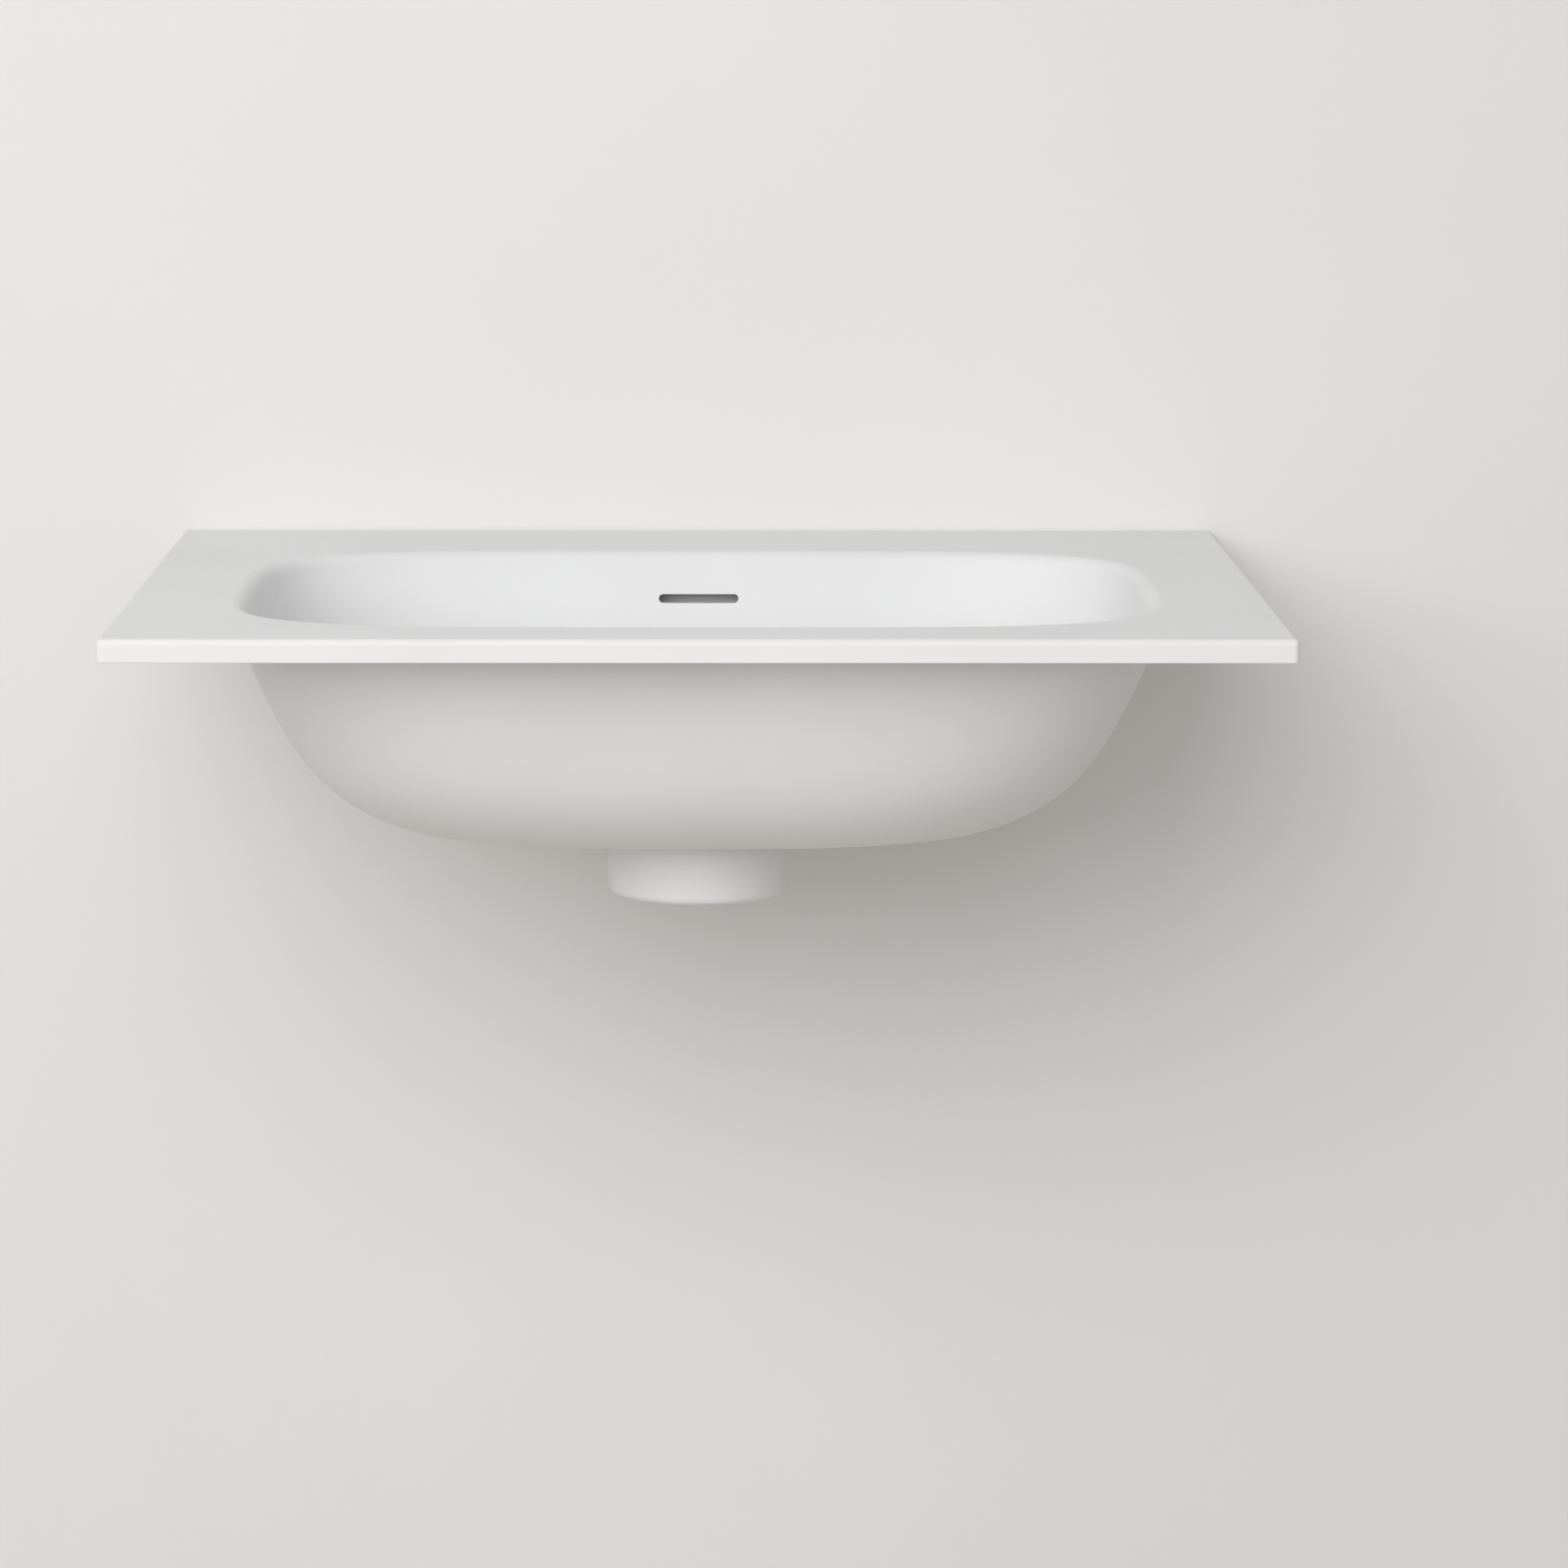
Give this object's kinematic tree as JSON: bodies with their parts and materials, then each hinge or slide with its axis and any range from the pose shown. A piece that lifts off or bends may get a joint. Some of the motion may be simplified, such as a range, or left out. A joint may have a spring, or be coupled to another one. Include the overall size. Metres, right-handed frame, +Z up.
{
  "type": "vanity sink top",
  "caption": "Thin white vanity countertop with a rounded rectangular basin bonded beneath, a rear overflow slot, a round drain boss and a push-open waste.",
  "frame": {"origin": "middle of the countertop slab's rear lower edge, on the wall plane and the cabinet plane", "axes": "+X to the right seen from the front, +Y back into the wall, +Z up; the front faces -Y"},
  "size_m": [0.6, 0.46, 0.169],
  "materials": {
    "solid_surface": "matte white",
    "chromed_brass": "polished",
    "plain_brass": "machined",
    "seal_rubber": "matte black",
    "washer_plastic": "satin",
    "cartridge_plastic": "satin",
    "steel": "drawn"
  },
  "bodies": {
    "basin": {"countertop_slab": "solid_surface", "bowl_shell": "solid_surface", "drain_boss": "solid_surface", "overflow_duct": "solid_surface", "waste_body": "chromed_brass", "flange_seal": "seal_rubber", "boss_seal": "seal_rubber", "slip_washer": "washer_plastic", "back_nut": "plain_brass", "click_cartridge": "cartridge_plastic", "cartridge_end_cap": "cartridge_plastic", "cartridge_spring": "steel"},
    "plug": {"plug_cap": "chromed_brass", "plug_seal": "seal_rubber", "plug_stem": "steel"}
  },
  "joints": [
    {"name": "plug_lift", "type": "slide", "parent": "basin", "child": "plug", "axis": [0, 0, 1], "range_m": [0, 0.009], "deforming": ["cartridge_spring"]}
  ]
}
